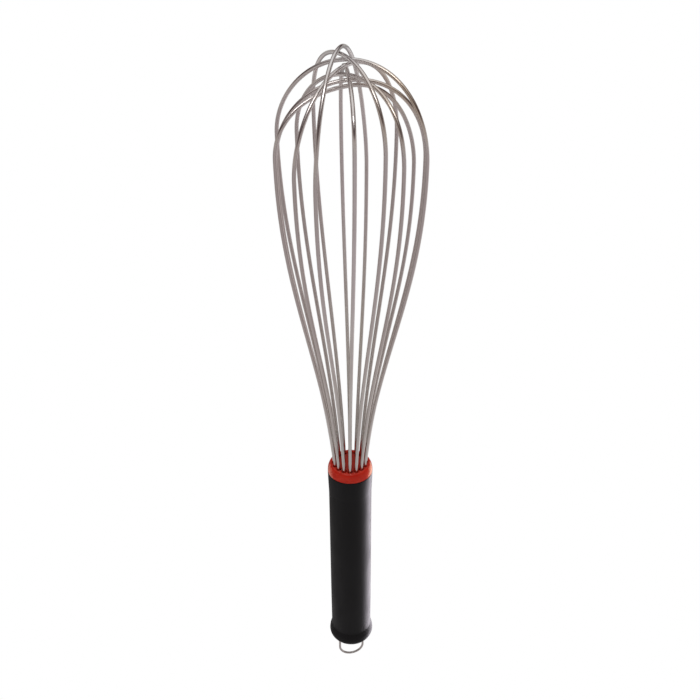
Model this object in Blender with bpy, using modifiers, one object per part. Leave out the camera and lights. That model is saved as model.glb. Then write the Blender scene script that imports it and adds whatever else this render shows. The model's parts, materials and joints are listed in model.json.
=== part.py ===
"""A balloon whisk: eight nested steel wire loops held in a black moulded handle by a red seal, with a
steel hanging loop that swings at the lower end.

The origin is on the handle's axis, in the middle of the grip. +Z runs along the handle towards the
balloon, +X to the right and -Y to the front. Lengths are in metres.
"""

from collections import namedtuple
from math import cos, radians, sin

import bmesh
import bpy
from mathutils import Matrix, Vector

MM = 0.001
CLEARANCE = 0.3 * MM  # between pieces that touch on the real whisk
CUT_BEYOND = 2 * MM  # how far a cutter runs past the piece that it cuts

# Handle, from its upper rim down
HANDLE_LENGTH = 158.5 * MM
RIM_RADIUS = 15.0 * MM
GRIP_RADIUS = 14.45 * MM
RIM_EDGE = 0.5 * MM
RIM_FLARE_LENGTH = 18 * MM
BULB_RADIUS = 15.9 * MM
BULB_LENGTH = 12.5 * MM
BULB_WIDEST = 5 * MM  # above the handle's end
END_FLAT_RADIUS = 11.5 * MM
SOCKET_RADIUS = 13.2 * MM
SOCKET_DEPTH = 44 * MM
BORE_RADIUS = 9.5 * MM

RIM_Z = 80 * MM
END_Z = RIM_Z - HANDLE_LENGTH

# Wires
LOOP_COUNT = 8
WIRE_RADIUS = 1.15 * MM
WIRE_HOLE_RADIUS = WIRE_RADIUS + CLEARANCE
CROWN_GAP = 0.6 * MM
LEVEL_PITCH = 2 * WIRE_RADIUS + CROWN_GAP
ENTRY_RADIUS = 10.3 * MM
WIRE_TAIL = 36 * MM  # how far a wire's ends reach below the rim
TAIL_STEPS = 3
LOWER_STEPS = 9
UPPER_STEPS = 11

# Balloon, with heights above the handle's rim
BELLY_HEIGHT = 225 * MM
BELLY_RADIUS = 42 * MM
BELLY_SHIFT = 0.5 * MM  # how far the belly stands off the axis, towards +X
LOWEST_CROWN = 260 * MM
CROWN_SHIFT = 4 * MM  # how far the crown stands off the axis, towards +X
ENTRY_LEAN = 5
LOWER_REACH = 90 * MM
BELLY_REACH = 80 * MM
SHOULDER_REACH = 23 * MM
CROWN_REACH = 0.62  # as a share of the belly's radius

# The loops were bent by hand, so they differ a little. A half has the common shape unless it says otherwise.
# Half: how far the belly turns from the wire's hole (degrees), its radius as a share of the common one, and
# how far it lies above the common height (mm).
# Loop: its level in the stack at the crown, how far its crown lies to the side (mm), and its two halves.
Half = namedtuple("Half", "turn share rise", defaults=(0, 1, 0))
Loop = namedtuple("Loop", "level side front back")
LOOPS = (
    Loop(3, -4, Half(turn=4, rise=10), Half(turn=6, rise=10)),
    Loop(6, -6, Half(turn=4, rise=10), Half(turn=6, rise=15)),
    Loop(2, 0, Half(turn=-2), Half()),
    Loop(5, 0, Half(turn=-4, share=1.1), Half(turn=4, rise=5)),
    Loop(1, 4, Half(rise=-5), Half(turn=-2, share=0.95, rise=-5)),
    Loop(0, 4, Half(share=0.95, rise=-15), Half(turn=-2)),
    Loop(4, 4, Half(turn=4), Half(turn=2, rise=-5)),
    Loop(7, 8, Half(turn=8, rise=-25), Half(turn=-2, rise=-10)),
)

# Seal, guide and potting, with heights above the handle's rim
SEAL_HEIGHT = 6.6 * MM
SEAL_TOP_RADIUS = 12.2 * MM
SEAL_EDGE = 0.7 * MM
PLUG_FIT_RADIUS = SOCKET_RADIUS - CLEARANCE
SEAL_BOTTOM = -8 * MM
GUIDE_TOP = SEAL_BOTTOM - CLEARANCE
GUIDE_BOTTOM = GUIDE_TOP - 2.5 * MM
POTTING_TOP = GUIDE_BOTTOM - CLEARANCE
POTTING_BOTTOM = -40 * MM
POTTING_HOLE_BOTTOM = -WIRE_TAIL - CLEARANCE

# End plug and hanging loop
PLUG_RADIUS = BORE_RADIUS - CLEARANCE
PLUG_DEPTH = 14 * MM
LUG_WIDTH = 12 * MM
LUG_THICKNESS = 5 * MM
LUG_DROP = 6.2 * MM
LUG_ROUND = 2 * MM
HANGER_WIRE_RADIUS = 0.8 * MM
HANGER_HALF_WIDTH = 8.8 * MM
HANGER_LEG = 12.7 * MM
HANGER_PIVOT_DROP = 3.5 * MM
HANGER_BEND = 2.0 * MM
HANGER_TURN = 10  # degrees about Z
HANGER_PIN_GAP = 1.0 * MM  # between the wire's two ends inside the lug
PIVOT_Z = END_Z - HANGER_PIVOT_DROP

TURN_STEPS = 40
HOLE_SIDES = 12

STEEL = ("wire_steel", (0.55, 0.52, 0.49), 0.25, 1.0)
RED = ("seal_red", (0.62, 0.05, 0.03), 0.2, 0.0)
BLACK = ("handle_black", (0.012, 0.011, 0.012), 0.4, 0.0)
CREAM = ("guide_nylon", (0.75, 0.72, 0.64), 0.5, 0.0)
AMBER = ("potting_resin", (0.45, 0.30, 0.12), 0.3, 0.0)


def clear_scene():
    for obj in list(bpy.data.objects):
        bpy.data.objects.remove(obj, do_unlink=True)


def new_collection(name):
    made = bpy.data.collections.new(name)
    bpy.context.scene.collection.children.link(made)
    return made


def principled(name, color, roughness, metallic):
    """The named material, made on its first use."""
    found = bpy.data.materials.get(name)
    if found:
        return found
    made = bpy.data.materials.new(name)
    made.use_nodes = True
    shader = made.node_tree.nodes["Principled BSDF"]
    shader.inputs["Base Color"].default_value = (*color, 1)
    shader.inputs["Roughness"].default_value = roughness
    shader.inputs["Metallic"].default_value = metallic
    return made


def add_object(name, data, collection, finish=None):
    made = bpy.data.objects.new(name, data)
    collection.objects.link(made)
    if finish:
        data.materials.append(principled(*finish))
    return made


def direction(azimuth):
    """The level direction at an azimuth in degrees, from the front (-Y) towards +X."""
    turn = radians(azimuth)
    return Vector((sin(turn), -cos(turn), 0))


def arc(center, radii, start, end, steps):
    """Points (r, z) of an elliptical arc from start to end degrees."""
    found = []
    for step in range(steps + 1):
        turn = radians(start + (end - start) * step / steps)
        found.append((center[0] + radii[0] * cos(turn), center[1] + radii[1] * sin(turn)))
    return found


def turned(name, outline, collection, finish):
    """A turned piece. The outline's (r, z) points run down the outer side first."""
    mesh = bpy.data.meshes.new(name)
    bm = bmesh.new()
    points = [bm.verts.new((r, 0, z)) for r, z in outline]
    closed = outline[0][0] > 0
    for first, second in zip(points, points[1:]):
        bm.edges.new((first, second))
    if closed:
        bm.edges.new((points[-1], points[0]))
    bm.to_mesh(mesh)
    bm.free()
    made = add_object(name, mesh, collection, finish)
    screw = made.modifiers.new("Turn", "SCREW")
    screw.steps = TURN_STEPS
    screw.render_steps = TURN_STEPS
    screw.use_merge_vertices = True
    screw.merge_threshold = 0.00001
    screw.use_smooth_shade = True
    return made


def wire_curve(name, points, radius, collection, finish):
    """A round wire along the points, with closed ends."""
    curve = bpy.data.curves.new(name, "CURVE")
    curve.dimensions = "3D"
    curve.bevel_depth = radius
    curve.bevel_resolution = 2
    curve.use_fill_caps = True
    spline = curve.splines.new("POLY")
    spline.points.add(len(points) - 1)
    for target, point in zip(spline.points, points):
        target.co = (*point, 1)
    return add_object(name, curve, collection, finish)


def bezier(start, start_handle, end_handle, end, steps):
    """Points of a cubic Bezier, without its first one."""
    found = []
    for step in range(1, steps + 1):
        t = step / steps
        s = 1 - t
        found.append(s**3 * start + 3 * s * s * t * start_handle + 3 * s * t * t * end_handle + t**3 * end)
    return found


def cylinder_cutter(name, radius, bottom, top, place, collection):
    """A wire-hole cutter that stands at a level place, from bottom to top."""
    mesh = bpy.data.meshes.new(name)
    bm = bmesh.new()
    bmesh.ops.create_cone(
        bm, cap_ends=True, segments=HOLE_SIDES, radius1=radius, radius2=radius, depth=top - bottom
    )
    bm.to_mesh(mesh)
    bm.free()
    made = add_object(name, mesh, collection)
    made.location = (place.x, place.y, (bottom + top) / 2)
    return made


def join_cutters(name, cutters, collection):
    """One cutter object that holds the shapes of several, which don't touch."""
    mesh = bpy.data.meshes.new(name)
    bm = bmesh.new()
    for cutter in cutters:
        bpy.context.view_layer.update()
        before = len(bm.verts)
        bm.from_mesh(cutter.data)
        bm.verts.ensure_lookup_table()
        bmesh.ops.transform(bm, matrix=cutter.matrix_world, verts=bm.verts[before:])
        bpy.data.objects.remove(cutter)
    bm.to_mesh(mesh)
    bm.free()
    made = add_object(name, mesh, collection)
    return as_cutter(made)


def as_cutter(obj):
    obj.hide_render = True
    obj.display_type = "WIRE"
    return obj


def boolean(target, cutter, operation):
    made = target.modifiers.new(cutter.name, "BOOLEAN")
    made.operation = operation
    made.solver = "EXACT"
    made.object = cutter


def entry_azimuths():
    return [360 * half / (2 * LOOP_COUNT) for half in range(2 * LOOP_COUNT)]


def wire_holes(name, bottom, top, cutters):
    """The cutter for the sixteen holes, from bottom to top above the rim."""
    parts = []
    for azimuth in entry_azimuths():
        place = direction(azimuth) * ENTRY_RADIUS
        parts.append(
            cylinder_cutter(name, WIRE_HOLE_RADIUS, RIM_Z + bottom, RIM_Z + top, place, cutters)
        )
    return join_cutters(name, parts, cutters)


def belly_point(azimuth, half):
    """Where one half of a loop is widest."""
    level = direction(azimuth + half.turn) * (half.share * BELLY_RADIUS)
    return level + Vector((BELLY_SHIFT, 0, RIM_Z + BELLY_HEIGHT + half.rise * MM))


def loop_side(azimuth, belly, crown, towards):
    """One half of a wire loop, from its end inside the handle up to the crown.

    towards is the level direction in which this half leaves the crown.
    """
    out = direction(azimuth)
    up = Vector((0, 0, 1))
    lean = radians(ENTRY_LEAN)
    entry = out * ENTRY_RADIUS + up * (RIM_Z + SEAL_HEIGHT)
    tail_end = out * ENTRY_RADIUS + up * (RIM_Z - WIRE_TAIL)
    leave = entry + LOWER_REACH * (out * sin(lean) + up * cos(lean))
    arrive = crown + towards * (CROWN_REACH * belly.xy.length)
    points = [tail_end.lerp(entry, step / TAIL_STEPS) for step in range(TAIL_STEPS + 1)]
    points += bezier(entry, leave, belly - up * BELLY_REACH, belly, LOWER_STEPS)
    points += bezier(belly, belly + up * SHOULDER_REACH, arrive, crown, UPPER_STEPS)
    return points


def wire_loop(index, collection):
    """One nested loop: both of its halves, joined at the crown."""
    loop = LOOPS[index]
    azimuth = 180 * index / LOOP_COUNT
    front = belly_point(azimuth, loop.front)
    back = belly_point(azimuth + 180, loop.back)
    across = (front - back).xy.normalized()
    towards = Vector((across.x, across.y, 0))
    sideways = Vector((-across.y, across.x, 0))
    crown_height = RIM_Z + LOWEST_CROWN + loop.level * LEVEL_PITCH
    crown = sideways * (loop.side * MM) + Vector((CROWN_SHIFT, 0, crown_height))
    first = loop_side(azimuth, front, crown, towards)
    second = loop_side(azimuth + 180, back, crown, -towards)
    points = first + second[-2::-1]
    return wire_curve(f"wire_loop_{index + 1}", points, WIRE_RADIUS, collection, STEEL)


def seal(collection, cutters):
    """The red seal: a rounded collar on the rim, and a spigot in the handle, with sixteen wire holes."""
    foot = RIM_Z + CLEARANCE
    top = RIM_Z + SEAL_HEIGHT
    shoulder = arc((SEAL_TOP_RADIUS, foot), (RIM_RADIUS - SEAL_TOP_RADIUS, SEAL_HEIGHT - CLEARANCE), 75, 0, 6)
    outline = [(0, top), (SEAL_TOP_RADIUS - SEAL_EDGE, top)]
    outline += shoulder
    outline += [
        (PLUG_FIT_RADIUS, foot),
        (PLUG_FIT_RADIUS, RIM_Z + SEAL_BOTTOM),
        (0, RIM_Z + SEAL_BOTTOM),
    ]
    made = turned("seal", outline, collection, RED)
    holes = wire_holes("seal_hole_cutter", SEAL_BOTTOM - CUT_BEYOND, SEAL_HEIGHT + CUT_BEYOND, cutters)
    boolean(made, holes, "DIFFERENCE")
    return made


def disc_outline(top, bottom):
    """A plain disc that fits the handle's socket, between heights above the rim."""
    return [
        (0, RIM_Z + top),
        (PLUG_FIT_RADIUS, RIM_Z + top),
        (PLUG_FIT_RADIUS, RIM_Z + bottom),
        (0, RIM_Z + bottom),
    ]


def wire_guide(collection, cutters):
    """The disc under the seal that keeps the wire ends on their circle."""
    made = turned("wire_guide", disc_outline(GUIDE_TOP, GUIDE_BOTTOM), collection, CREAM)
    holes = wire_holes("guide_hole_cutter", GUIDE_BOTTOM - CUT_BEYOND, GUIDE_TOP + CUT_BEYOND, cutters)
    boolean(made, holes, "DIFFERENCE")
    return made


def potting_block(collection, cutters):
    """The cast resin block that locks the wire ends in the handle."""
    made = turned("potting_block", disc_outline(POTTING_TOP, POTTING_BOTTOM), collection, AMBER)
    holes = wire_holes("potting_hole_cutter", POTTING_HOLE_BOTTOM, POTTING_TOP + CUT_BEYOND, cutters)
    boolean(made, holes, "DIFFERENCE")
    return made


def handle(collection):
    """The moulded grip, open at both ends, with a flared rim and a swollen lower end."""
    neck = END_Z + BULB_LENGTH
    widest = END_Z + BULB_WIDEST
    outline = arc((RIM_RADIUS - RIM_EDGE, RIM_Z - RIM_EDGE), (RIM_EDGE, RIM_EDGE), 90, 0, 2)
    outline += [
        (RIM_RADIUS - 0.15 * MM, RIM_Z - 0.4 * RIM_FLARE_LENGTH),
        (GRIP_RADIUS + 0.1 * MM, RIM_Z - 0.8 * RIM_FLARE_LENGTH),
        (GRIP_RADIUS, RIM_Z - 1.2 * RIM_FLARE_LENGTH),
        (GRIP_RADIUS, RIM_Z - HANDLE_LENGTH / 2),
        (GRIP_RADIUS - 0.1 * MM, neck + 3 * MM),
        (GRIP_RADIUS - 0.05 * MM, neck),
        (GRIP_RADIUS + 0.35 * MM, neck - 2 * MM),
        (BULB_RADIUS - 0.3 * MM, widest + 2.5 * MM),
    ]
    outline += arc(
        (END_FLAT_RADIUS, widest), (BULB_RADIUS - END_FLAT_RADIUS, BULB_WIDEST), 0, -90, 7
    )
    outline += [
        (BORE_RADIUS, END_Z),
        (BORE_RADIUS, RIM_Z - SOCKET_DEPTH),
        (SOCKET_RADIUS, RIM_Z - SOCKET_DEPTH),
        (SOCKET_RADIUS, RIM_Z),
    ]
    return turned("handle", outline, collection, BLACK)


def lug_shape(cutters):
    """The block under the end plug that the hanging loop turns in."""
    mesh = bpy.data.meshes.new("lug_shape")
    bm = bmesh.new()
    bmesh.ops.create_cube(bm, size=1)
    height = LUG_DROP + PLUG_DEPTH / 2
    bmesh.ops.scale(bm, vec=(LUG_WIDTH, LUG_THICKNESS, height), verts=bm.verts)
    bmesh.ops.translate(bm, vec=(0, 0, END_Z - LUG_DROP + height / 2), verts=bm.verts)
    rims = [edge for edge in bm.edges if abs(edge.verts[0].co.x - edge.verts[1].co.x) > LUG_WIDTH / 2]
    low = [edge for edge in rims if edge.verts[0].co.z < END_Z]
    bmesh.ops.bevel(bm, geom=low, offset=LUG_ROUND, segments=4, profile=0.5, affect="EDGES")
    bm.to_mesh(mesh)
    bm.free()
    return as_cutter(add_object("lug_shape", mesh, cutters))


def end_plug(collection, cutters, pivot_turn):
    """The stopper in the lower end, with the drilled lug under it."""
    top = END_Z + PLUG_DEPTH
    outline = [(0, top), (PLUG_RADIUS, top), (PLUG_RADIUS, END_Z), (0, END_Z)]
    made = turned("end_plug", outline, collection, BLACK)
    lug = lug_shape(cutters)
    lug.matrix_world = pivot_turn
    boolean(made, lug, "UNION")
    hole_length = LUG_WIDTH + 2 * CUT_BEYOND
    hole_radius = HANGER_WIRE_RADIUS + CLEARANCE
    hole = cylinder_cutter("lug_hole_cutter", hole_radius, 0, hole_length, Vector(), cutters)
    as_cutter(hole)
    across = Matrix.Rotation(radians(90), 4, "Y")
    hole.matrix_world = Matrix.Translation((0, 0, PIVOT_Z)) @ pivot_turn @ across
    boolean(made, hole, "DIFFERENCE")
    return made


def hanger_points():
    """The hanging loop about its pivot: in-turned ends, legs and a round bottom, in the XZ plane."""
    half = HANGER_HALF_WIDTH
    bend = HANGER_BEND
    right = [(HANGER_PIN_GAP / 2, 0), (half / 2, 0)]
    right += arc((half - bend, -bend), (bend, bend), 90, 0, 4)
    right += arc((0, -HANGER_LEG), (half, half), 0, -90, 9)
    left = [(-r, z) for r, z in right[-2::-1]]
    return [Vector((x, 0, z)) for x, z in right + left]


def hanging_loop(collection, pivot_turn):
    """The swinging wire loop, with its origin on the pivot's axis."""
    made = wire_curve("hanging_loop", hanger_points(), HANGER_WIRE_RADIUS, collection, STEEL)
    made.matrix_world = Matrix.Translation((0, 0, PIVOT_Z)) @ pivot_turn
    return made


def main():
    clear_scene()
    whisk = new_collection("balloon_whisk")
    cutters = new_collection("cutters")
    cutters.hide_render = True
    pivot_turn = Matrix.Rotation(radians(HANGER_TURN), 4, "Z")
    for index in range(LOOP_COUNT):
        wire_loop(index, whisk)
    seal(whisk, cutters)
    wire_guide(whisk, cutters)
    potting_block(whisk, cutters)
    handle(whisk)
    end_plug(whisk, cutters, pivot_turn)
    hanging_loop(whisk, pivot_turn)


main()
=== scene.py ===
"""The looks of a balloon whisk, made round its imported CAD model.

Lengths are in metres. The handle's axis is the Z axis, +Z runs towards the balloon, and the front is -Y.
Azimuths are in degrees, from the front towards +X.
"""

import json
from collections import namedtuple
from math import cos, pi, radians, sin

import bmesh
import bpy
from mathutils import Matrix, Vector


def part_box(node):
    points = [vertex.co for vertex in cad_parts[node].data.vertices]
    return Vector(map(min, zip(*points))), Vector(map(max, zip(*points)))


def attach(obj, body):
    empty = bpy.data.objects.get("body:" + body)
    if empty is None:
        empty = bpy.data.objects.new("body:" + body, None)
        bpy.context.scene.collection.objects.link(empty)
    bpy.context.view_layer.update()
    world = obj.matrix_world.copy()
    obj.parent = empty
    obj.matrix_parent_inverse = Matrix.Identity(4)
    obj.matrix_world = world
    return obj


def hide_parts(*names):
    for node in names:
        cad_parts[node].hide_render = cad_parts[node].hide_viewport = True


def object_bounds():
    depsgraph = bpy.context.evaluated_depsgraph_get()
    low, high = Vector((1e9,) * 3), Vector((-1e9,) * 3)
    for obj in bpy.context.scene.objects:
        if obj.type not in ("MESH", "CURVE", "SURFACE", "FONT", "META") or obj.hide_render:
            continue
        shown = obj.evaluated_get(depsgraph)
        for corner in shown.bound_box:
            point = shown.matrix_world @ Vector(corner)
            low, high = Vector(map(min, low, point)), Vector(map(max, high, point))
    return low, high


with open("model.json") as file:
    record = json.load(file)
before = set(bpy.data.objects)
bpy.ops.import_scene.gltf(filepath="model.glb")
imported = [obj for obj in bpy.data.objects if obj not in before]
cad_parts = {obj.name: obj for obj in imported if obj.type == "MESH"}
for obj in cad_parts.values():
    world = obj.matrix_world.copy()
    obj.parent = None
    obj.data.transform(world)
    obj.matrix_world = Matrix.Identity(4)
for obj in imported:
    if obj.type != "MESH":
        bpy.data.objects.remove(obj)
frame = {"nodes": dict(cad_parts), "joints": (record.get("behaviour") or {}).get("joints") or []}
cad_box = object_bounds()

MM = 0.001
UP = Vector((0, 0, 1))
CUT_BEYOND = 2 * MM  # how far a cutter reaches past what it cuts
SHARP_ANGLE = radians(40)

RIM_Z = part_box("handle")[1].z
END_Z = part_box("handle")[0].z
SEAL_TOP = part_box("seal")[1].z
SEAL_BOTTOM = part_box("seal")[0].z
PLUG_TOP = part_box("end_plug")[1].z
WIRE_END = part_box("wire_loop_1")[0].z

# Handle
RIM_RADIUS = 15.0 * MM
GRIP_RADIUS = 14.45 * MM
BULB_RADIUS = 15.9 * MM
BULB_LENGTH = 12.5 * MM
BULB_WIDEST = 5 * MM  # above the handle's end
END_FLAT_RADIUS = 11.5 * MM
SOCKET_RADIUS = 13.2 * MM
SOCKET_DEPTH = 44 * MM
BORE_RADIUS = 9.5 * MM
RIM_EDGE = 0.6 * MM
BORE_EDGE = 0.3 * MM
HANDLE_SEGMENTS = 160

# Seal
SEAL_TOP_RADIUS = 12.2 * MM
SEAL_EDGE = 0.7 * MM
SEAL_FOOT = 0.3 * MM  # its lip's height above the rim
SEAL_DISH = (  # (radius, depth) of the shallow dish in its top
    (0, 0.15 * MM),
    (4 * MM, 0.12 * MM),
    (8 * MM, 0.05 * MM),
    (9.6 * MM, 0),
)
SEAL_SEGMENTS = 128
SPIGOT_RADIUS = 12.9 * MM
HOLE_RADIUS = 1.3 * MM
COUNTERSINK_RADIUS = 1.9 * MM
COUNTERSINK_DEPTH = 0.9 * MM
HOLE_SEGMENTS = 32

# Wires
LOOP_COUNT = 8
WIRE_RADIUS = 1.15 * MM
CROWN_GAP = 0.6 * MM
LEVEL_PITCH = 2 * WIRE_RADIUS + CROWN_GAP
ENTRY_RADIUS = 10.3 * MM
ENTRY_LEAN = 5
ENTRY_BEND = 6 * MM  # length over which a wire bends outwards, above and below the seal's top
WIRE_SIDES = 24
TAIL_STEPS = 4
BEND_STEPS = 8
LOWER_STEPS = 80
UPPER_STEPS = 60
WIRE_END_RINGS = ((0.35, 0.0), (0.8, 0.12), (1.0, 0.4))  # (share of the radius, inset in radii)

# Balloon, with heights above the handle's rim
BELLY_HEIGHT = 225 * MM
BELLY_RADIUS = 42 * MM
BELLY_SHIFT = 0.5 * MM  # how far the belly stands off the axis, towards +X
LOWEST_CROWN = 260 * MM
CROWN_SHIFT = 4 * MM  # how far the crown stands off the axis, towards +X
LOWER_REACH = 90 * MM
BELLY_REACH = 80 * MM
SHOULDER_REACH = 23 * MM
CROWN_REACH = 0.62  # as a share of the belly's radius

# The hand-bent differences between the loops, as in the CAD model. A half has the common shape
# unless it says otherwise.
# Half: the belly's turn from the wire's hole (degrees), its radius as a share, its rise (mm).
# Loop: its level in the stack, its crown's offset to the side (mm), and its halves.
Half = namedtuple("Half", "turn share rise", defaults=(0, 1, 0))
Loop = namedtuple("Loop", "level side front back")
LOOPS = (
    Loop(3, -4, Half(turn=4, rise=10), Half(turn=6, rise=10)),
    Loop(6, -6, Half(turn=4, rise=10), Half(turn=6, rise=15)),
    Loop(2, 0, Half(turn=-2), Half()),
    Loop(5, 0, Half(turn=-4, share=1.1), Half(turn=4, rise=5)),
    Loop(1, 4, Half(rise=-5), Half(turn=-2, share=0.95, rise=-5)),
    Loop(0, 4, Half(share=0.95, rise=-15), Half(turn=-2)),
    Loop(4, 4, Half(turn=4), Half(turn=2, rise=-5)),
    Loop(7, 8, Half(turn=8, rise=-25), Half(turn=-2, rise=-10)),
)

# End plug and hanging loop
PLUG_RADIUS = 9.2 * MM
PLUG_CHAMFER = 0.5 * MM
PLUG_GROOVE = (  # (inset from the radius, depth)
    (1.4 * MM, 0),
    (1.6 * MM, 0.25 * MM),
    (2.0 * MM, 0.25 * MM),
    (2.2 * MM, 0),
)
PLUG_SEGMENTS = 96
LUG_SIZE = Vector((12, 5, 0)) * MM
LUG_ROUND = 1.2 * MM
LUG_ROOT = 4 * MM  # how far the lug reaches into the plug
PIN_CLEARANCE = 0.3 * MM
DRILL_REACH = 9 * MM
DRILL_SEGMENTS = 32
HANGER_WIRE_RADIUS = 0.8 * MM
HANGER_HALF_WIDTH = 8.8 * MM
HANGER_LEG = 12.7 * MM
HANGER_BEND = 2.0 * MM
HANGER_PIN_GAP = 1.0 * MM
HANGER_SIDES = 24

# Steel. The tints are (height, colour). The wire's tints are its steel colour with painted reflection tones
# that change with height, lighter and more silver at the crown's top: a painted sheen.
WIRE_TINTS_AND_SHEEN = (
    (90 * MM, (0.74, 0.730, 0.690)),
    (175 * MM, (0.80, 0.755, 0.705)),
    (265 * MM, (0.785, 0.700, 0.705)),
    (315 * MM, (0.78, 0.705, 0.695)),
    (342 * MM, (0.78, 0.725, 0.700)),
    (362 * MM, (0.83, 0.810, 0.815)),
)
LOOP_TINTS = ((-110 * MM, (0.58, 0.545, 0.52)), (-80 * MM, (0.57, 0.54, 0.53)))
CROWN_GOLD_TINT = (0.68, 0.56, 0.45)
CROWN_GOLD_X = (3 * MM, 28 * MM)  # the gold tint grows between these places, to the right and upwards
CROWN_GOLD_Z = (316 * MM, 338 * MM)
# Stain colour of the random patches and drawn lines, also used as painted shade on the wires' left and
# right sides
STAIN_AND_SIDE_SHADE = (0.60, 0.52, 0.49)
SIDE_SHADE_REACH = 22 * MM  # from the axis to where the painted side shade is fullest
# Heights over which the painted side shade weakens
SIDE_SHADE_FADE_Z = (295 * MM, 325 * MM)
TINT_WANDER = 40 * MM  # how far a tint strays from its height

# Plastics
BLACK_DARK = (0.0014, 0.0009, 0.0012)
BLACK_LIGHT = (0.0026, 0.0016, 0.0020)
BLACK_SCRATCH = (0.012, 0.011, 0.012)
BLACK_SCUFF = (0.014, 0.013, 0.014)
RED_DEEP = (0.60, 0.020, 0.010)
RED_BRIGHT = (0.70, 0.030, 0.013)
RED_MARK = (0.48, 0.012, 0.010)
RED_PAINTED_SHADE = (0.36, 0.020, 0.010)  # painted shade inside the circle of the wires, where they shade the seal's top
RED_PAINTED_SHADE_RADII = (9.5 * MM, 12.5 * MM)

# Camera: a 50 mm lens that looks at a point beside the handle's axis
LENS = 50
SENSOR_WIDTH = 36
AIM_HEIGHT = 175.5 * MM
CAMERA_DISTANCE = 600.5 * MM
CAMERA_ELEVATION = 33.0
CAMERA_ROLL = -0.38
CAMERA_SIDE = 0.46 * MM

# Stage
FLOOR_DROP = 1.15  # the floor's distance below the whisk, in metres
FLOOR_Z = cad_box[0].z - FLOOR_DROP
FLOOR_SIDE = 24.0
SKY_BANDS = (  # (elevation, red, green, blue)
    (-90, 0.42, 0.42, 0.42),
    (-6, 0.47, 0.47, 0.45),
    (6, 0.46, 0.44, 0.42),
    (12, 0.40, 0.37, 0.36),
    (17, 0.13, 0.10, 0.10),
    (26, 0.05, 0.03, 0.03),
    (34, 0.20, 0.18, 0.18),
    (46, 0.58, 0.56, 0.56),
    (90, 0.86, 0.88, 0.88),
)
FLOOR_COLOUR = (0.92, 0.91, 0.93)
FLOOR_SHADE = (0.56, 0.55, 0.55)  # away from the lights
SHADE_AZIMUTH = -140
SHADE_START = 0.3
SHADE_END = 1.3

# Lights. The back lights stand low behind the whisk, on both sides.
Light = namedtuple("Light", "azimuth elevation distance width height brightness colour")
BACK_ELEVATION = -24
HANDLE_LIGHT = Light(124, BACK_ELEVATION, 0.9, 0.62, 1.4, 4.4, (0.97, 0.90, 1.0))
SEAL_LIGHTS = (
    Light(124, BACK_ELEVATION, 0.9, 0.62, 1.4, 3.4, (1.0, 0.88, 0.66)),
    Light(-118, BACK_ELEVATION, 0.9, 0.62, 1.4, 1.2, (1.0, 0.88, 0.66)),
)
STEEL_LIGHTS = (
    Light(-112, -25, 1.2, 1.0, 1.5, 0.3, (1.0, 1.0, 1.0)),
    Light(112, -25, 1.2, 1.0, 1.5, 0.3, (1.0, 1.0, 1.0)),
)
FRONT_LIGHT = Light(-8, 59, 1.6, 0.75, 0.24, 4.6, (0.97, 0.99, 1.0))


# ---------------------------------------------------------------- shapes


def direction(azimuth):
    """The level direction at an azimuth."""
    turn = radians(azimuth)
    return Vector((sin(turn), -cos(turn), 0))


def arc(center, radii, start, end, steps):
    """Points (r, z) of an elliptical arc from start to end degrees."""
    found = []
    for step in range(steps + 1):
        turn = radians(start + (end - start) * step / steps)
        found.append((center[0] + radii[0] * cos(turn), center[1] + radii[1] * sin(turn)))
    return found


def bezier(start, start_handle, end_handle, end, steps, first=0.0):
    """Points of a cubic Bezier after its share first, without that point."""
    found = []
    for step in range(1, steps + 1):
        t = first + (1 - first) * step / steps
        s = 1 - t
        found.append(s**3 * start + 3 * s * s * t * start_handle + 3 * s * t * t * end_handle + t**3 * end)
    return found


def smooth_outline(points, steps):
    """A Catmull-Rom curve through (r, z) points, which takes in both ends."""
    spots = [Vector(point) for point in (points[0], *points, points[-1])]
    found = []
    for a, b, c, d in zip(spots, spots[1:], spots[2:], spots[3:]):
        for step in range(steps):
            t = step / steps
            bend = 2 * b + (c - a) * t + (2 * a - 5 * b + 4 * c - d) * t**2 + (3 * b - a - 3 * c + d) * t**3
            found.append(tuple(bend / 2))
    found.append(tuple(points[-1]))
    return found


def add_object(name, mesh, material):
    """An object for the mesh, smooth but for its sharp edges."""
    made = bpy.data.objects.new(name, mesh)
    bpy.context.scene.collection.objects.link(made)
    if material:
        mesh.materials.append(material)
    mesh.shade_smooth()
    mesh.set_sharp_from_angle(angle=SHARP_ANGLE)
    return made


def turned(name, outline, segments, material=None):
    """A turned piece.

    The outline's (r, z) points run down the outer side first. It starts and ends on the axis, or closes.
    """
    bm = bmesh.new()
    rings = []
    for r, z in outline:
        if r == 0:
            rings.append([bm.verts.new((0, 0, z))])
            continue
        ring = []
        for segment in range(segments):
            ring.append(bm.verts.new(direction(360 * segment / segments) * r + UP * z))
        rings.append(ring)
    if outline[0][0] > 0:
        rings.append(rings[0])
    for upper, lower in zip(rings, rings[1:]):
        for segment in range(segments):
            after = (segment + 1) % segments
            corners = [upper[segment % len(upper)], lower[segment % len(lower)]]
            corners += [lower[after % len(lower)], upper[after % len(upper)]]
            bm.faces.new(list(dict.fromkeys(corners)))
    bmesh.ops.recalc_face_normals(bm, faces=bm.faces)
    mesh = bpy.data.meshes.new(name)
    bm.to_mesh(mesh)
    bm.free()
    return add_object(name, mesh, material)


def carried_frames(points):
    """Two directions across the wire at each point, carried along it without twist."""
    tangents = []
    for index in range(len(points)):
        before = points[max(index - 1, 0)]
        after = points[min(index + 1, len(points) - 1)]
        tangents.append((after - before).normalized())
    across = tangents[0].orthogonal().normalized()
    frames = []
    for tangent in tangents:
        across = (across - tangent * across.dot(tangent)).normalized()
        frames.append((across, tangent.cross(across)))
    return frames


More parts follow.
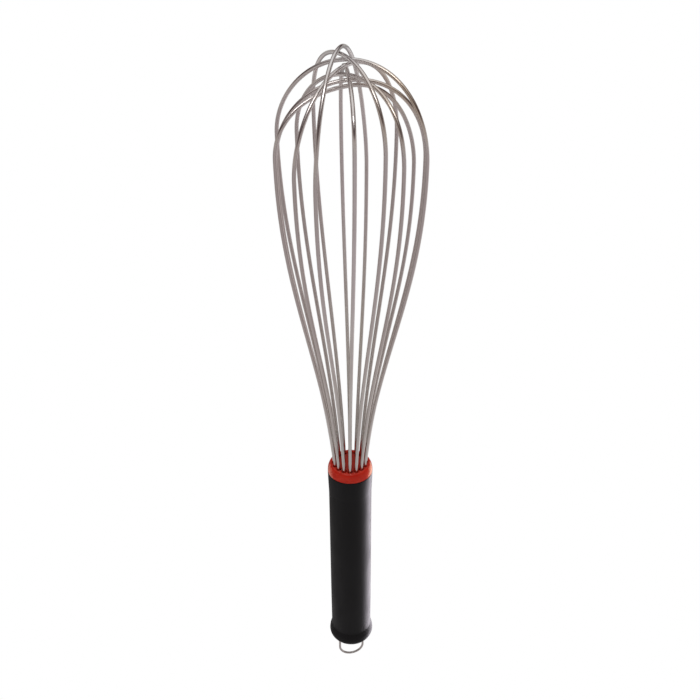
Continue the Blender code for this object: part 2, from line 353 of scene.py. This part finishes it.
def swept_wire(name, points, radius, sides, material):
    """A round wire along the points, with rounded ends.

    Its attribute "rod" holds where each vertex would lie if the wire were straight, for the drawn grain.
    """
    frames = carried_frames(points)
    rings = []
    length = 0.0
    for index, (point, (across, over)) in enumerate(zip(points, frames)):
        if index:
            length += (point - points[index - 1]).length
        tangent = across.cross(over)
        if index == 0:
            steps = WIRE_END_RINGS
            inwards = tangent * radius
        elif index == len(points) - 1:
            steps = reversed(WIRE_END_RINGS)
            inwards = -tangent * radius
        else:
            steps = ((1.0, 0.0),)
            inwards = tangent
        for share, inset in steps:
            rings.append((point + inwards * inset, across, over, share, length))
    vertices = []
    rods = []
    for center, across, over, share, along in rings:
        for side in range(sides):
            turn = 2 * pi * side / sides
            spot = Vector((cos(turn), sin(turn))) * radius * share
            vertices.append(center + across * spot.x + over * spot.y)
            rods.append((spot.x, spot.y, along))
    faces = []
    for ring in range(len(rings) - 1):
        for side in range(sides):
            after = (side + 1) % sides
            low = ring * sides
            faces.append((low + side, low + after, low + sides + after, low + sides + side))
    faces.append(tuple(reversed(range(sides))))
    faces.append(tuple(range(len(vertices) - sides, len(vertices))))
    mesh = bpy.data.meshes.new(name)
    mesh.from_pydata(vertices, [], faces)
    rod = mesh.attributes.new("rod", "FLOAT_VECTOR", "POINT")
    rod.data.foreach_set("vector", [value for spot in rods for value in spot])
    return add_object(name, mesh, material)


def apply_boolean(target, tool, operation):
    """Cuts target with tool, or joins tool to it, and removes tool."""
    modifier = target.modifiers.new(operation, "BOOLEAN")
    modifier.operation = operation
    modifier.solver = "EXACT"
    modifier.object = tool
    graph = bpy.context.evaluated_depsgraph_get()
    mesh = bpy.data.meshes.new_from_object(target.evaluated_get(graph))
    target.modifiers.clear()
    old = target.data
    target.data = mesh
    bpy.data.meshes.remove(old)
    bpy.data.objects.remove(tool)
    mesh.shade_smooth()
    mesh.set_sharp_from_angle(angle=SHARP_ANGLE)


# ---------------------------------------------------------------- material helpers


def new_material(name, **settings):
    """A material, its node tree and its shader, with the settings put on the shader's own sockets."""
    made = bpy.data.materials.new(name)
    made.use_nodes = True
    shader = made.node_tree.nodes["Principled BSDF"]
    for key, value in settings.items():
        shader.inputs[key.replace("_", " ")].default_value = value
    return made, made.node_tree, shader


def add_node(tree, kind, values=None, **settings):
    """A shader node, with values for its sockets and settings for the node itself."""
    made = tree.nodes.new("ShaderNode" + kind)
    for key, value in settings.items():
        setattr(made, key, value)
    for key, value in (values or {}).items():
        made.inputs[key].default_value = value
    return made


def stretched(tree, vector, scale):
    """The vector with each axis times its own scale."""
    made = add_node(tree, "Mapping", {"Scale": scale})
    tree.links.new(vector, made.inputs["Vector"])
    return made.outputs["Vector"]


def noise(tree, vector, scale, detail=4.0, roughness=0.55):
    """Noise from 0 to 1."""
    made = add_node(tree, "TexNoise", {"Scale": scale, "Detail": detail, "Roughness": roughness})
    tree.links.new(vector, made.inputs["Vector"])
    return made.outputs["Fac"]


def mapped(tree, value, low, high, to_low, to_high):
    """value taken from low..high to to_low..to_high, and clamped."""
    made = add_node(
        tree, "MapRange", {"From Min": low, "From Max": high, "To Min": to_low, "To Max": to_high}
    )
    tree.links.new(value, made.inputs["Value"])
    return made.outputs["Result"]


def calculated(tree, operation, *values):
    """A Math node on sockets or numbers."""
    made = add_node(tree, "Math", operation=operation)
    for slot, value in enumerate(values):
        if isinstance(value, (int, float)):
            made.inputs[slot].default_value = value
        else:
            tree.links.new(value, made.inputs[slot])
    return made.outputs[0]


def mixed(tree, factor, first, second):
    """A colour between first and second, each a socket or an RGB triple."""
    made = add_node(tree, "Mix", data_type="RGBA")
    tree.links.new(factor, made.inputs["Factor"])
    for name, value in (("A", first), ("B", second)):
        socket = [s for s in made.inputs if s.name == name and s.type == "RGBA"][0]
        if isinstance(value, tuple):
            socket.default_value = (*value, 1)
        else:
            tree.links.new(value, socket)
    return [s for s in made.outputs if s.type == "RGBA"][0]


def bumped(tree, height, distance, strength=1.0, before=None):
    """A normal bent by height, which is 0 to 1 over distance metres."""
    made = add_node(tree, "Bump", {"Distance": distance, "Strength": strength})
    tree.links.new(height, made.inputs["Height"])
    if before:
        tree.links.new(before, made.inputs["Normal"])
    return made.outputs["Normal"]


def position(tree):
    """The place on the object, in metres."""
    return add_node(tree, "TexCoord").outputs["Object"]


# ---------------------------------------------------------------- materials


def colour_ramp(tree, value, stops):
    """A colour looked up in stops of (value, (red, green, blue))."""
    low = stops[0][0]
    high = stops[-1][0]
    made = add_node(tree, "ValToRGB")
    tree.links.new(mapped(tree, value, low, high, 0, 1), made.inputs[0])
    elements = made.color_ramp.elements
    while len(elements) < len(stops):
        elements.new(0.5)
    for element, (place, colour) in zip(elements, stops):
        element.position = (place - low) / (high - low)
        element.color = (*colour, 1)
    return made.outputs["Color"]


def steel(name, tints, crown_gold, base_roughness):
    """Drawn and polished stainless wire: grain along the wire, handling marks, nicks, a gold tint on the
    right of the crown, and painted shade on the left and right sides.

    tints are its colours by height; for the wire they are painted reflection tones with a painted sheen at
    the crown's top. crown_gold is how strongly the right side of the crown is tinted gold.
    """
    made, tree, shader = new_material(name, Metallic=1.0)
    rod = add_node(tree, "Attribute", attribute_name="rod").outputs["Vector"]
    place = position(tree)
    parts = add_node(tree, "SeparateXYZ")
    tree.links.new(place, parts.inputs[0])
    grain = noise(tree, stretched(tree, rod, (9000, 9000, 45)), 1.0, 5, 0.6)
    long_lines = noise(tree, stretched(tree, rod, (2600, 2600, 9)), 1.0, 3, 0.5)
    patches = noise(tree, place, 28, 3)
    smudge = noise(tree, place, 160, 5, 0.65)
    nicks = noise(tree, stretched(tree, rod, (1500, 1500, 900)), 1.0, 2)
    wander = calculated(tree, "MULTIPLY_ADD", patches, 2 * TINT_WANDER, -TINT_WANDER)
    # Colour by height: for the wire, steel with painted reflection tones and a painted sheen at the crown's
    # top
    colour = colour_ramp(tree, calculated(tree, "ADD", parts.outputs["Z"], wander), tints)
    # Painted shade: the wires darken towards their left and right sides, less so near the crown
    side = mapped(tree, calculated(tree, "ABSOLUTE", parts.outputs["X"]), 0, SIDE_SHADE_REACH, 0.1, 0.8)
    fade = mapped(tree, parts.outputs["Z"], *SIDE_SHADE_FADE_Z, 1, 0.45)
    colour = mixed(tree, calculated(tree, "MULTIPLY", side, fade), colour, STAIN_AND_SIDE_SHADE)
    right = mapped(tree, parts.outputs["X"], *CROWN_GOLD_X, 0, crown_gold)
    top = mapped(tree, parts.outputs["Z"], *CROWN_GOLD_Z, 0, 1)
    colour = mixed(tree, calculated(tree, "MULTIPLY", right, top), colour, CROWN_GOLD_TINT)
    colour = mixed(tree, mapped(tree, patches, 0.50, 0.72, 0, 0.5), colour, STAIN_AND_SIDE_SHADE)
    colour = mixed(tree, mapped(tree, long_lines, 0.58, 0.72, 0, 0.3), colour, STAIN_AND_SIDE_SHADE)
    tree.links.new(colour, shader.inputs["Base Color"])
    rough = mapped(tree, smudge, 0.35, 0.7, base_roughness, base_roughness + 0.07)
    rough = calculated(tree, "ADD", rough, mapped(tree, grain, 0.3, 0.7, -0.02, 0.03))
    tree.links.new(rough, shader.inputs["Roughness"])
    normal = bumped(tree, grain, 0.001 * MM)
    normal = bumped(tree, long_lines, 0.002 * MM, before=normal)
    normal = bumped(tree, mapped(tree, nicks, 0.72, 0.8, 1, 0), 0.004 * MM, before=normal)
    tree.links.new(normal, shader.inputs["Normal"])
    return made


def moulded_black(name, seed_offset):
    """Satin black moulded plastic: spark-eroded grain, flow marks, a polished grip and rubbed edges."""
    made, tree, shader = new_material(name)
    shader.inputs["Specular IOR Level"].default_value = 0.22
    shift = add_node(tree, "Mapping", {"Location": (seed_offset, 0, 0)})
    tree.links.new(position(tree), shift.inputs["Vector"])
    place = shift.outputs["Vector"]
    grain = noise(tree, place, 3200, 3, 0.5)
    flow = noise(tree, stretched(tree, place, (1, 1, 0.25)), 60, 4)
    handling = noise(tree, stretched(tree, place, (1, 1, 0.4)), 110, 5, 0.6)
    scratches = noise(tree, stretched(tree, place, (900, 900, 22)), 1.0, 2)
    scuffs = noise(tree, stretched(tree, place, (160, 160, 420)), 1.0, 3)
    colour = mixed(tree, mapped(tree, flow, 0.35, 0.65, 0, 1), BLACK_DARK, BLACK_LIGHT)
    colour = mixed(tree, mapped(tree, scratches, 0.66, 0.78, 0, 0.5), colour, BLACK_SCRATCH)
    colour = mixed(tree, mapped(tree, scuffs, 0.70, 0.82, 0, 0.35), colour, BLACK_SCUFF)
    tree.links.new(colour, shader.inputs["Base Color"])
    rough = mapped(tree, handling, 0.3, 0.7, 0.36, 0.50)
    rough = calculated(tree, "ADD", rough, mapped(tree, grain, 0.3, 0.7, -0.02, 0.03))
    rough = calculated(tree, "SUBTRACT", rough, mapped(tree, scratches, 0.64, 0.8, 0, 0.12))
    tree.links.new(rough, shader.inputs["Roughness"])
    normal = bumped(tree, grain, 0.012 * MM)
    normal = bumped(tree, mapped(tree, scratches, 0.64, 0.8, 1, 0), 0.012 * MM, before=normal)
    normal = bumped(tree, flow, 0.05 * MM, before=normal)
    tree.links.new(normal, shader.inputs["Normal"])
    return made


def moulded_red():
    """Glossy red moulded plastic, a little translucent, with sink marks, fine pits, handling marks and
    painted shade inside the circle of the wires.
    """
    made, tree, shader = new_material("glossy_red_seal")
    shader.inputs["Specular IOR Level"].default_value = 0.28
    shader.inputs["Specular Tint"].default_value = (1.0, 0.90, 0.74, 1)
    shader.inputs["Subsurface Weight"].default_value = 0.12
    shader.inputs["Subsurface Radius"].default_value = (0.9 * MM, 0.25 * MM, 0.15 * MM)
    shader.inputs["Subsurface Scale"].default_value = 1.0
    place = position(tree)
    swirl = noise(tree, place, 190, 4)
    fine = noise(tree, place, 900, 4, 0.6)
    pits = noise(tree, place, 2400, 2)
    colour = mixed(tree, mapped(tree, swirl, 0.35, 0.65, 0, 1), RED_DEEP, RED_BRIGHT)
    colour = mixed(tree, mapped(tree, fine, 0.60, 0.78, 0, 0.4), colour, RED_MARK)
    flat = stretched(tree, place, (1, 1, 0))
    reach = add_node(tree, "VectorMath", operation="LENGTH")
    tree.links.new(flat, reach.inputs[0])
    # Painted shade: the red darkens inside the circle of the wires
    middle = mapped(tree, reach.outputs["Value"], *RED_PAINTED_SHADE_RADII, 0.6, 0)
    colour = mixed(tree, middle, colour, RED_PAINTED_SHADE)
    tree.links.new(colour, shader.inputs["Base Color"])
    rough = mapped(tree, fine, 0.3, 0.7, 0.12, 0.22)
    tree.links.new(rough, shader.inputs["Roughness"])
    normal = bumped(tree, swirl, 0.06 * MM)
    normal = bumped(tree, mapped(tree, pits, 0.66, 0.76, 1, 0), 0.012 * MM, before=normal)
    tree.links.new(normal, shader.inputs["Normal"])
    return made


def natural_nylon():
    """Cream nylon with a faint mottle and machining rings."""
    made, tree, shader = new_material("natural_nylon")
    shader.inputs["Subsurface Weight"].default_value = 0.1
    shader.inputs["Subsurface Radius"].default_value = (0.8 * MM, 0.6 * MM, 0.4 * MM)
    shader.inputs["Subsurface Scale"].default_value = 1.0
    place = position(tree)
    mottle = noise(tree, place, 240, 4)
    fine = noise(tree, place, 1800, 3)
    colour = mixed(tree, mapped(tree, mottle, 0.35, 0.65, 0, 1), (0.74, 0.70, 0.60), (0.80, 0.77, 0.70))
    tree.links.new(colour, shader.inputs["Base Color"])
    tree.links.new(mapped(tree, fine, 0.3, 0.7, 0.42, 0.6), shader.inputs["Roughness"])
    tree.links.new(bumped(tree, fine, 0.02 * MM), shader.inputs["Normal"])
    return made


def cast_resin():
    """Amber potting resin with darker clouds and small bubbles."""
    made, tree, shader = new_material("cast_amber_resin")
    shader.inputs["Coat Weight"].default_value = 0.3
    shader.inputs["Coat Roughness"].default_value = 0.1
    place = position(tree)
    clouds = noise(tree, place, 130, 4)
    bubbles = add_node(tree, "TexVoronoi", {"Scale": 900.0})
    tree.links.new(place, bubbles.inputs["Vector"])
    colour = mixed(tree, mapped(tree, clouds, 0.3, 0.7, 0, 1), (0.50, 0.33, 0.12), (0.34, 0.20, 0.06))
    tree.links.new(colour, shader.inputs["Base Color"])
    tree.links.new(mapped(tree, clouds, 0.3, 0.7, 0.22, 0.38), shader.inputs["Roughness"])
    dents = mapped(tree, bubbles.outputs["Distance"], 0.0, 0.18, 0, 1)
    tree.links.new(bumped(tree, dents, 0.03 * MM), shader.inputs["Normal"])
    return made


# ---------------------------------------------------------------- pieces


def belly_point(azimuth, half):
    """Where one half of a loop is widest."""
    level = direction(azimuth + half.turn) * (half.share * BELLY_RADIUS)
    return level + Vector((BELLY_SHIFT, 0, RIM_Z + BELLY_HEIGHT + half.rise * MM))


def loop_side(azimuth, belly, crown, towards):
    """One half of a wire loop, from its end inside the handle up to the crown.

    towards is the level direction in which this half leaves the crown.
    """
    out = direction(azimuth)
    lean = radians(ENTRY_LEAN)
    entry = out * ENTRY_RADIUS + UP * SEAL_TOP
    tail_end = out * ENTRY_RADIUS + UP * WIRE_END
    bend_start = entry - UP * ENTRY_BEND
    leave = entry + LOWER_REACH * (out * sin(lean) + UP * cos(lean))
    bend_end = entry + (leave - entry).normalized() * ENTRY_BEND
    points = [tail_end.lerp(bend_start, step / TAIL_STEPS) for step in range(TAIL_STEPS + 1)]
    handles = [end.lerp(entry, 2 / 3) for end in (bend_start, bend_end)]
    points += bezier(bend_start, *handles, bend_end, BEND_STEPS)
    bent_share = ENTRY_BEND / (3 * LOWER_REACH)
    points += bezier(entry, leave, belly - UP * BELLY_REACH, belly, LOWER_STEPS, bent_share)
    arrive = crown + towards * (CROWN_REACH * belly.xy.length)
    points += bezier(belly, belly + UP * SHOULDER_REACH, arrive, crown, UPPER_STEPS)
    return points


def wire_loop(index, material):
    """One nested loop: both of its halves, joined at the crown."""
    loop = LOOPS[index]
    azimuth = 180 * index / LOOP_COUNT
    front = belly_point(azimuth, loop.front)
    back = belly_point(azimuth + 180, loop.back)
    across = (front - back).xy.normalized()
    towards = Vector((across.x, across.y, 0))
    sideways = Vector((-across.y, across.x, 0))
    crown_height = RIM_Z + LOWEST_CROWN + loop.level * LEVEL_PITCH
    crown = sideways * (loop.side * MM) + Vector((CROWN_SHIFT, 0, crown_height))
    first = loop_side(azimuth, front, crown, towards)
    second = loop_side(azimuth + 180, back, crown, -towards)
    name = f"wire_loop_{index + 1}"
    made = swept_wire("fine_" + name, first + second[-2::-1], WIRE_RADIUS, WIRE_SIDES, material)
    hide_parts(name)
    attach(made, "whisk")


def seal_outline():
    """The seal's dished top, its rounded lip and its spigot."""
    foot = RIM_Z + SEAL_FOOT
    rise = SEAL_TOP - foot
    outline = [(radius, SEAL_TOP - depth) for radius, depth in SEAL_DISH]
    outline += [(SEAL_TOP_RADIUS - SEAL_EDGE, SEAL_TOP)]
    outline += arc((SEAL_TOP_RADIUS, foot), (RIM_RADIUS - SEAL_TOP_RADIUS, rise), 78, 0, 20)
    outline += [(SPIGOT_RADIUS, foot), (SPIGOT_RADIUS, SEAL_BOTTOM), (0, SEAL_BOTTOM)]
    return outline


def seal(material):
    """The red seal, with a countersunk hole for each of the sixteen wires."""
    made = turned("fine_seal", seal_outline(), SEAL_SEGMENTS, material)
    hole = [
        (0, SEAL_TOP + CUT_BEYOND),
        (COUNTERSINK_RADIUS, SEAL_TOP + CUT_BEYOND),
        (COUNTERSINK_RADIUS, SEAL_TOP),
        (HOLE_RADIUS, SEAL_TOP - COUNTERSINK_DEPTH),
        (HOLE_RADIUS, SEAL_BOTTOM - CUT_BEYOND),
        (0, SEAL_BOTTOM - CUT_BEYOND),
    ]
    for half in range(2 * LOOP_COUNT):
        cutter = turned("hole_cutter", hole, HOLE_SEGMENTS)
        cutter.location = direction(180 * half / LOOP_COUNT) * ENTRY_RADIUS
        apply_boolean(made, cutter, "DIFFERENCE")
    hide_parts("seal")
    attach(made, "whisk")


def handle_outline():
    """The grip's outer side from its rim down, then the bore and the socket."""
    outline = arc((RIM_RADIUS - RIM_EDGE, RIM_Z - RIM_EDGE), (RIM_EDGE, RIM_EDGE), 90, 0, 8)
    widest = END_Z + BULB_WIDEST
    neck = END_Z + BULB_LENGTH
    outer = [
        (RIM_RADIUS, RIM_Z - RIM_EDGE),
        (RIM_RADIUS - 0.12 * MM, RIM_Z - 6 * MM),
        (GRIP_RADIUS + 0.15 * MM, RIM_Z - 14 * MM),
        (GRIP_RADIUS, RIM_Z - 22 * MM),
        (GRIP_RADIUS, RIM_Z - 60 * MM),
        (GRIP_RADIUS, RIM_Z - 110 * MM),
        (GRIP_RADIUS - 0.1 * MM, neck + 8 * MM),
        (GRIP_RADIUS - 0.05 * MM, neck),
        (GRIP_RADIUS + 0.35 * MM, neck - 2 * MM),
        (BULB_RADIUS - 0.3 * MM, widest + 2.5 * MM),
        (BULB_RADIUS, widest),
    ]
    outline += smooth_outline(outer, 8)[1:-1]
    outline += arc((END_FLAT_RADIUS, widest), (BULB_RADIUS - END_FLAT_RADIUS, BULB_WIDEST), 0, -90, 24)
    outline += arc((BORE_RADIUS + BORE_EDGE, END_Z + BORE_EDGE), (BORE_EDGE, BORE_EDGE), -90, -180, 4)
    outline += [
        (BORE_RADIUS, RIM_Z - SOCKET_DEPTH),
        (SOCKET_RADIUS, RIM_Z - SOCKET_DEPTH),
        (SOCKET_RADIUS, RIM_Z - BORE_EDGE),
        (SOCKET_RADIUS + BORE_EDGE, RIM_Z),
    ]
    return outline


def handle(material):
    """The moulded grip."""
    made = turned("fine_handle", handle_outline(), HANDLE_SEGMENTS, material)
    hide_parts("handle")
    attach(made, "whisk")


def rounded_block(name, size, center, radius):
    """A block with rounded edges."""
    mesh = bpy.data.meshes.new(name)
    bm = bmesh.new()
    bmesh.ops.create_cube(bm, size=1)
    bmesh.ops.scale(bm, vec=size, verts=bm.verts)
    bmesh.ops.bevel(bm, geom=bm.edges, offset=radius, segments=5, profile=0.5, affect="EDGES")
    bmesh.ops.translate(bm, vec=center, verts=bm.verts)
    bm.to_mesh(mesh)
    bm.free()
    return add_object(name, mesh, None)


def end_plug(material, pivot, axis):
    """The stopper in the lower end, with the drilled lug that the hanging loop turns in."""
    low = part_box("end_plug")[0].z
    flat = PLUG_RADIUS - PLUG_CHAMFER
    outline = [(0, PLUG_TOP), (flat, PLUG_TOP), (PLUG_RADIUS, PLUG_TOP - PLUG_CHAMFER)]
    outline += [(PLUG_RADIUS, END_Z + PLUG_CHAMFER), (flat, END_Z)]
    outline += [(PLUG_RADIUS - inset, END_Z + depth) for inset, depth in PLUG_GROOVE]
    outline += [(0, END_Z)]
    made = turned("fine_end_plug", outline, PLUG_SEGMENTS, material)
    turn = axis.xy.angle_signed(Vector((1, 0)))
    height = END_Z - low + LUG_ROOT
    size = (LUG_SIZE.x, LUG_SIZE.y, height)
    lug = rounded_block("lug", size, (0, 0, low + height / 2), LUG_ROUND)
    lug.matrix_world = Matrix.Rotation(turn, 4, "Z")
    apply_boolean(made, lug, "UNION")
    radius = HANGER_WIRE_RADIUS + PIN_CLEARANCE
    bit = [(0, DRILL_REACH), (radius, DRILL_REACH), (radius, -DRILL_REACH), (0, -DRILL_REACH)]
    drill = turned("drill", bit, DRILL_SEGMENTS)
    drill.matrix_world = Matrix.Translation(pivot) @ axis.to_track_quat("Z", "Y").to_matrix().to_4x4()
    apply_boolean(made, drill, "DIFFERENCE")
    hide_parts("end_plug")
    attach(made, "whisk")


def hanging_loop(material, pivot, axis):
    """The swinging wire loop: in-turned ends, legs and a round bottom."""
    half = HANGER_HALF_WIDTH
    bend = HANGER_BEND
    right = [(HANGER_PIN_GAP / 2, 0), (half / 4, 0), (half / 2, 0)]
    right += arc((half - bend, -bend), (bend, bend), 90, 0, 12)
    right += [(half, -HANGER_LEG * share) for share in (0.4, 0.6, 0.8)]
    right += arc((0, -HANGER_LEG), (half, half), 0, -90, 36)
    outline = right + [(-r, z) for r, z in right[-2::-1]]
    points = [pivot + axis * x + UP * z for x, z in outline]
    made = swept_wire("fine_hanging_loop", points, HANGER_WIRE_RADIUS, HANGER_SIDES, material)
    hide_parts("hanging_loop")
    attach(made, "hanger")


def repaint(node, material):
    """A CAD node that stays, with a better material."""
    mesh = frame["nodes"][node].data
    mesh.materials.clear()
    mesh.materials.append(material)


# ---------------------------------------------------------------- stage


def white_to_camera(tree, seen, lit):
    """A shader socket that shows seen to the camera and lit to every other ray."""
    path = add_node(tree, "LightPath")
    mix = add_node(tree, "MixShader")
    tree.links.new(path.outputs["Is Camera Ray"], mix.inputs[0])
    tree.links.new(lit, mix.inputs[1])
    tree.links.new(seen, mix.inputs[2])
    return mix.outputs[0]


def floor():
    """A plain white floor, far enough below for the whisk to cast no shadow that shows."""
    mesh = bpy.data.meshes.new("floor")
    bm = bmesh.new()
    bmesh.ops.create_grid(bm, x_segments=1, y_segments=1, size=FLOOR_SIDE / 2)
    bm.to_mesh(mesh)
    bm.free()
    made, tree, shader = new_material("white_floor", Roughness=0.9)
    place = stretched(tree, position(tree), (*direction(SHADE_AZIMUTH).xy, 0))
    sides = add_node(tree, "SeparateXYZ")
    tree.links.new(place, sides.inputs[0])
    away = calculated(tree, "ADD", sides.outputs["X"], sides.outputs["Y"])
    shade = mapped(tree, away, SHADE_START, SHADE_END, 0, 1)
    tree.links.new(mixed(tree, shade, FLOOR_COLOUR, FLOOR_SHADE), shader.inputs["Base Color"])
    seen = add_node(tree, "Emission", {"Color": (1, 1, 1, 1), "Strength": 1.0})
    out = white_to_camera(tree, seen.outputs[0], shader.outputs[0])
    tree.links.new(out, tree.nodes["Material Output"].inputs["Surface"])
    plane = add_object("floor", mesh, made)
    plane.location.z = FLOOR_Z


def studio_world():
    """A white studio: bands of light and shade by height, and plain white behind the whisk."""
    world = bpy.data.worlds.new("studio")
    bpy.context.scene.world = world
    world.use_nodes = True
    tree = world.node_tree
    lit = tree.nodes["Background"]
    height = add_node(tree, "SeparateXYZ")
    tree.links.new(add_node(tree, "TexCoord").outputs["Generated"], height.inputs[0])
    bands = add_node(tree, "ValToRGB")
    tree.links.new(mapped(tree, height.outputs["Z"], -1, 1, 0, 1), bands.inputs[0])
    ramp = bands.color_ramp
    while len(ramp.elements) < len(SKY_BANDS):
        ramp.elements.new(0.5)
    for element, (elevation, *colour) in zip(ramp.elements, SKY_BANDS):
        element.position = (sin(radians(elevation)) + 1) / 2
        element.color = (*colour, 1)
    tree.links.new(bands.outputs["Color"], lit.inputs["Color"])
    seen = add_node(tree, "Background", {"Color": (1, 1, 1, 1), "Strength": 1.0})
    out = white_to_camera(tree, seen.outputs[0], lit.outputs[0])
    tree.links.new(out, tree.nodes["World Output"].inputs["Surface"])


def softbox(name, light, receivers=None):
    """A rectangular light aimed at the middle of the grip. receivers are the only pieces that it lights."""
    data = bpy.data.lights.new(name, "AREA")
    data.shape = "RECTANGLE"
    data.size = light.width
    data.size_y = light.height
    data.energy = light.brightness * pi * light.width * light.height
    data.color = light.colour
    made = bpy.data.objects.new(name, data)
    bpy.context.scene.collection.objects.link(made)
    level = direction(light.azimuth) * cos(radians(light.elevation))
    back = level + UP * sin(radians(light.elevation))
    made.location = back * light.distance
    made.rotation_mode = "QUATERNION"
    made.rotation_quaternion = back.to_track_quat("Z", "Y")
    made.visible_camera = False
    if receivers:
        made.light_linking.receiver_collection = receivers


def lit_pieces(name, pieces):
    """A collection of pieces, for a light that is shaded from all the others."""
    made = bpy.data.collections.new(name)
    for piece in pieces:
        made.objects.link(bpy.data.objects[piece])
    return made


def lights():
    """Low back lights, each shaded so that it lights one kind of piece, and a front light for all."""
    moulded = lit_pieces("moulded_pieces", ("fine_handle", "fine_end_plug"))
    softbox("right_back_light", HANDLE_LIGHT, moulded)
    seal_piece = lit_pieces("seal_piece", ("fine_seal",))
    for light in SEAL_LIGHTS:
        softbox("seal_light", light, seal_piece)
    wires = [f"fine_wire_loop_{index + 1}" for index in range(LOOP_COUNT)]
    steel_pieces = lit_pieces("steel_pieces", (*wires, "fine_hanging_loop"))
    for light in STEEL_LIGHTS:
        softbox("steel_fill_light", light, steel_pieces)
    softbox("front_light", FRONT_LIGHT)


def camera():
    """The camera, in front of the whisk and looking down on it."""
    data = bpy.data.cameras.new("camera")
    data.lens = LENS
    data.sensor_width = SENSOR_WIDTH
    data.clip_start = 0.01
    made = bpy.data.objects.new("camera", data)
    bpy.context.scene.collection.objects.link(made)
    level = direction(0) * cos(radians(CAMERA_ELEVATION))
    back = level + UP * sin(radians(CAMERA_ELEVATION))
    made.location = Vector((CAMERA_SIDE, 0, AIM_HEIGHT)) + back * CAMERA_DISTANCE
    tilt = Matrix.Rotation(radians(90 - CAMERA_ELEVATION), 3, "X")
    roll = Matrix.Rotation(radians(CAMERA_ROLL), 3, "Z")
    made.rotation_euler = (tilt @ roll).to_euler()
    bpy.context.scene.camera = made


def main():
    """Builds every piece, the stage, the lights and the camera."""
    joint = frame["joints"][0]
    pivot = Vector(joint["pos_m"])
    axis = Vector(joint["axis"]).normalized()
    camera()
    wire_steel = steel("drawn_steel_wire", WIRE_TINTS_AND_SHEEN, 0.9, 0.14)
    for index in range(LOOP_COUNT):
        wire_loop(index, wire_steel)
    seal(moulded_red())
    handle(moulded_black("satin_black_grip", 0.0))
    end_plug(moulded_black("satin_black_plug", 0.3), pivot, axis)
    loop_steel = steel("drawn_steel_loop", LOOP_TINTS, 0, 0.24)
    hanging_loop(loop_steel, pivot, axis)
    repaint("wire_guide", natural_nylon())
    repaint("potting_block", cast_resin())
    floor()
    studio_world()
    lights()
    bpy.context.scene.view_settings.view_transform = "Standard"


main()
